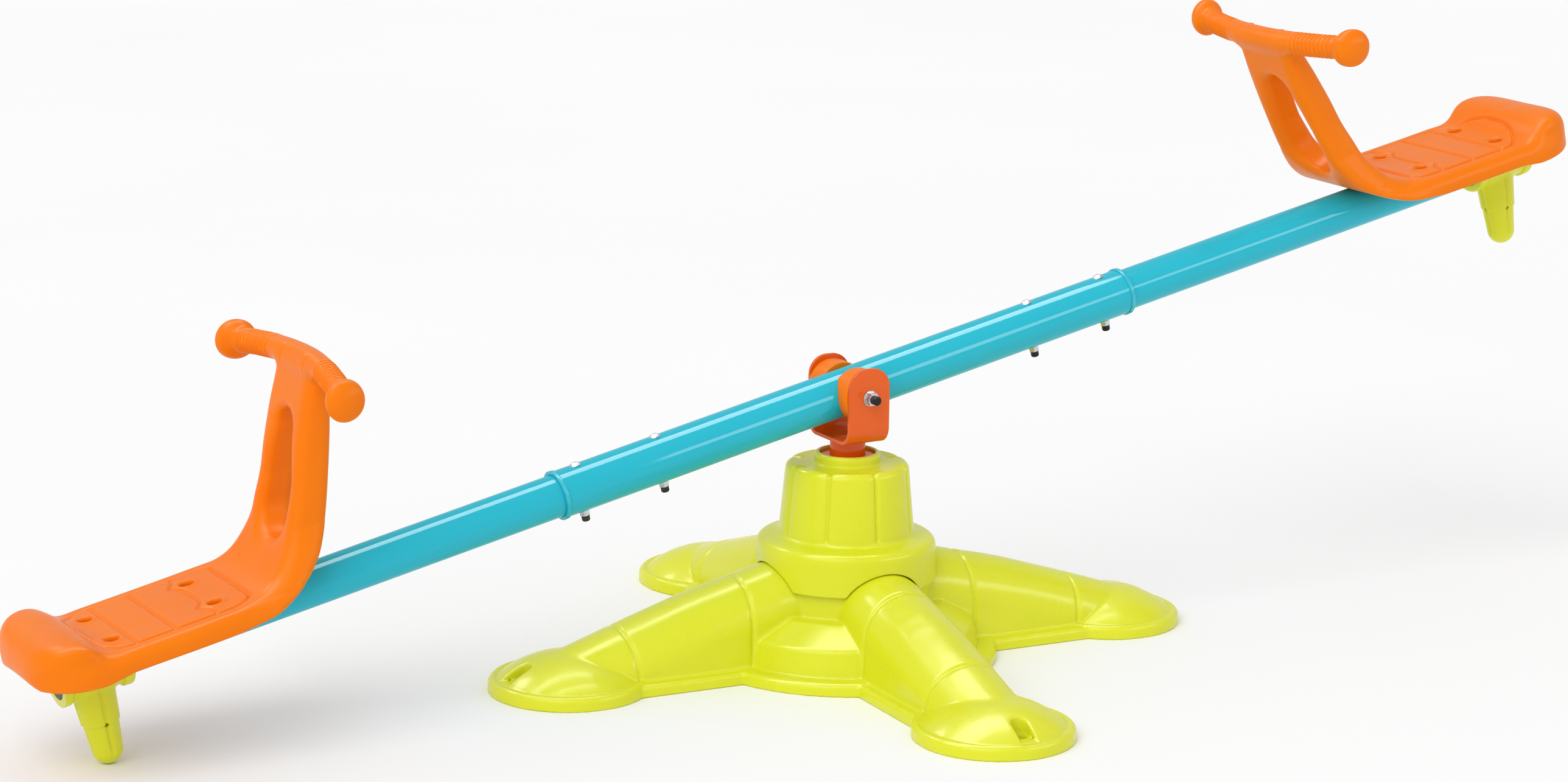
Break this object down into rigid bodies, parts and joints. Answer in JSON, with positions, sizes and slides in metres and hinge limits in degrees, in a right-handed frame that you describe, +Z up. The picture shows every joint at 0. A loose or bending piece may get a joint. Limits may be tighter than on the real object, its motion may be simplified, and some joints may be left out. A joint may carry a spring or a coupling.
{
  "type": "rotating playground seesaw",
  "caption": "Rotating children's seesaw: a tilting steel tube with a moulded seat, T-bar handle and bumper at each end, on a swivel fork over a low cross-shaped plastic base.",
  "frame": {"origin": "on the floor under the tilt pivot, on the vertical swivel axis", "axes": "+Z up, +X level along the beam towards the seat that is raised at rest, +Y across the beam along the tilt pivot"},
  "size_m": [1.8562, 0.816, 0.6622],
  "materials": {
    "lime_plastic": "lime yellow-green moulded polyethylene, soft gloss",
    "orange_plastic": "orange moulded polyethylene, satin",
    "blue_paint": "bright blue powder coat, gloss",
    "blue_plastic": "bright blue moulded ring",
    "fork_paint": "orange-red powder coat, gloss",
    "zinc_steel": "zinc plated",
    "black_plastic": "black moulded cap",
    "nylon": "natural nylon bearing bush"
  },
  "bodies": {
    "base": {"base_body": "lime_plastic", "hub_cap": "lime_plastic", "hub_screws": "zinc_steel", "upper_bush": "nylon", "lower_bush": "nylon"},
    "turntable": {"riser_pipe": "fork_paint", "thrust_flange": "fork_paint", "riser_end_plate": "zinc_steel", "retaining_washer": "zinc_steel", "retaining_bolt": "zinc_steel", "fork": "fork_paint", "pivot_bolt": "zinc_steel", "pivot_washers": "zinc_steel", "pivot_nut": "zinc_steel", "pivot_nut_cap": "black_plastic"},
    "beam": {"pivot_sleeve": "zinc_steel", "pivot_spacer_near": "orange_plastic", "pivot_spacer_far": "orange_plastic", "centre_tube": "blue_paint", "end_tube_left": "blue_paint", "end_tube_right": "blue_paint", "joint_collar_left": "blue_plastic", "joint_collar_right": "blue_plastic", "joint_bolts": "zinc_steel", "joint_nuts": "zinc_steel", "joint_nut_caps": "black_plastic", "seat_left": "orange_plastic", "seat_right": "orange_plastic", "seat_lugs": "blue_paint", "seat_bolts": "zinc_steel", "seat_nuts": "zinc_steel", "bumper_left": "lime_plastic", "bumper_right": "lime_plastic", "bumper_screws": "zinc_steel", "tube_end_plugs": "black_plastic"}
  },
  "joints": [
    {"name": "swivel", "type": "hinge", "parent": "base", "child": "turntable", "pos_m": [0, 0, 0], "axis": [0, 0, 1], "continuous": true},
    {"name": "tilt", "type": "hinge", "parent": "turntable", "child": "beam", "pos_m": [0, 0, 0.291], "axis": [0, 1, 0], "range_deg": [0, 24.94]}
  ]
}
